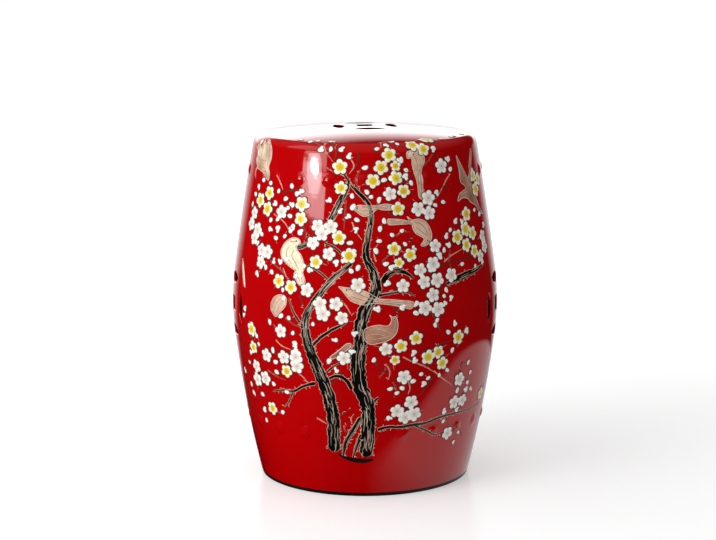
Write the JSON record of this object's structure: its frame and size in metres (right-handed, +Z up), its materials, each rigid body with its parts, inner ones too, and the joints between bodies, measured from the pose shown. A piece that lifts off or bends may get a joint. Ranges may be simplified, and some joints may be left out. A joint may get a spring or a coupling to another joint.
{
  "type": "ceramic garden stool",
  "caption": "Drum-shaped hollow ceramic garden stool with a domed seat, pierced coin motifs on the seat and both sides, studs round each end, and an open foot ring.",
  "frame": {"origin": "centre of the flat standing face under the foot ring", "axes": "+Z up along the stool's axis, front facing -Y, +X to the right seen from the front"},
  "size_m": [0.3462, 0.3464, 0.457],
  "materials": {
    "red_glaze": "deep glossy red glaze",
    "black_glaze": "black glaze",
    "yellow_enamel": "raised yellow enamel",
    "white_enamel": "raised white enamel",
    "bark_enamel": "raised dark enamel",
    "pale_enamel": "raised beige enamel"
  },
  "bodies": {
    "root": {"seat_top": "red_glaze", "upper_wall": "red_glaze", "lower_wall": "red_glaze", "foot_ring": "black_glaze", "upper_studs": "red_glaze", "lower_studs": "red_glaze"}
  },
  "joints": []
}
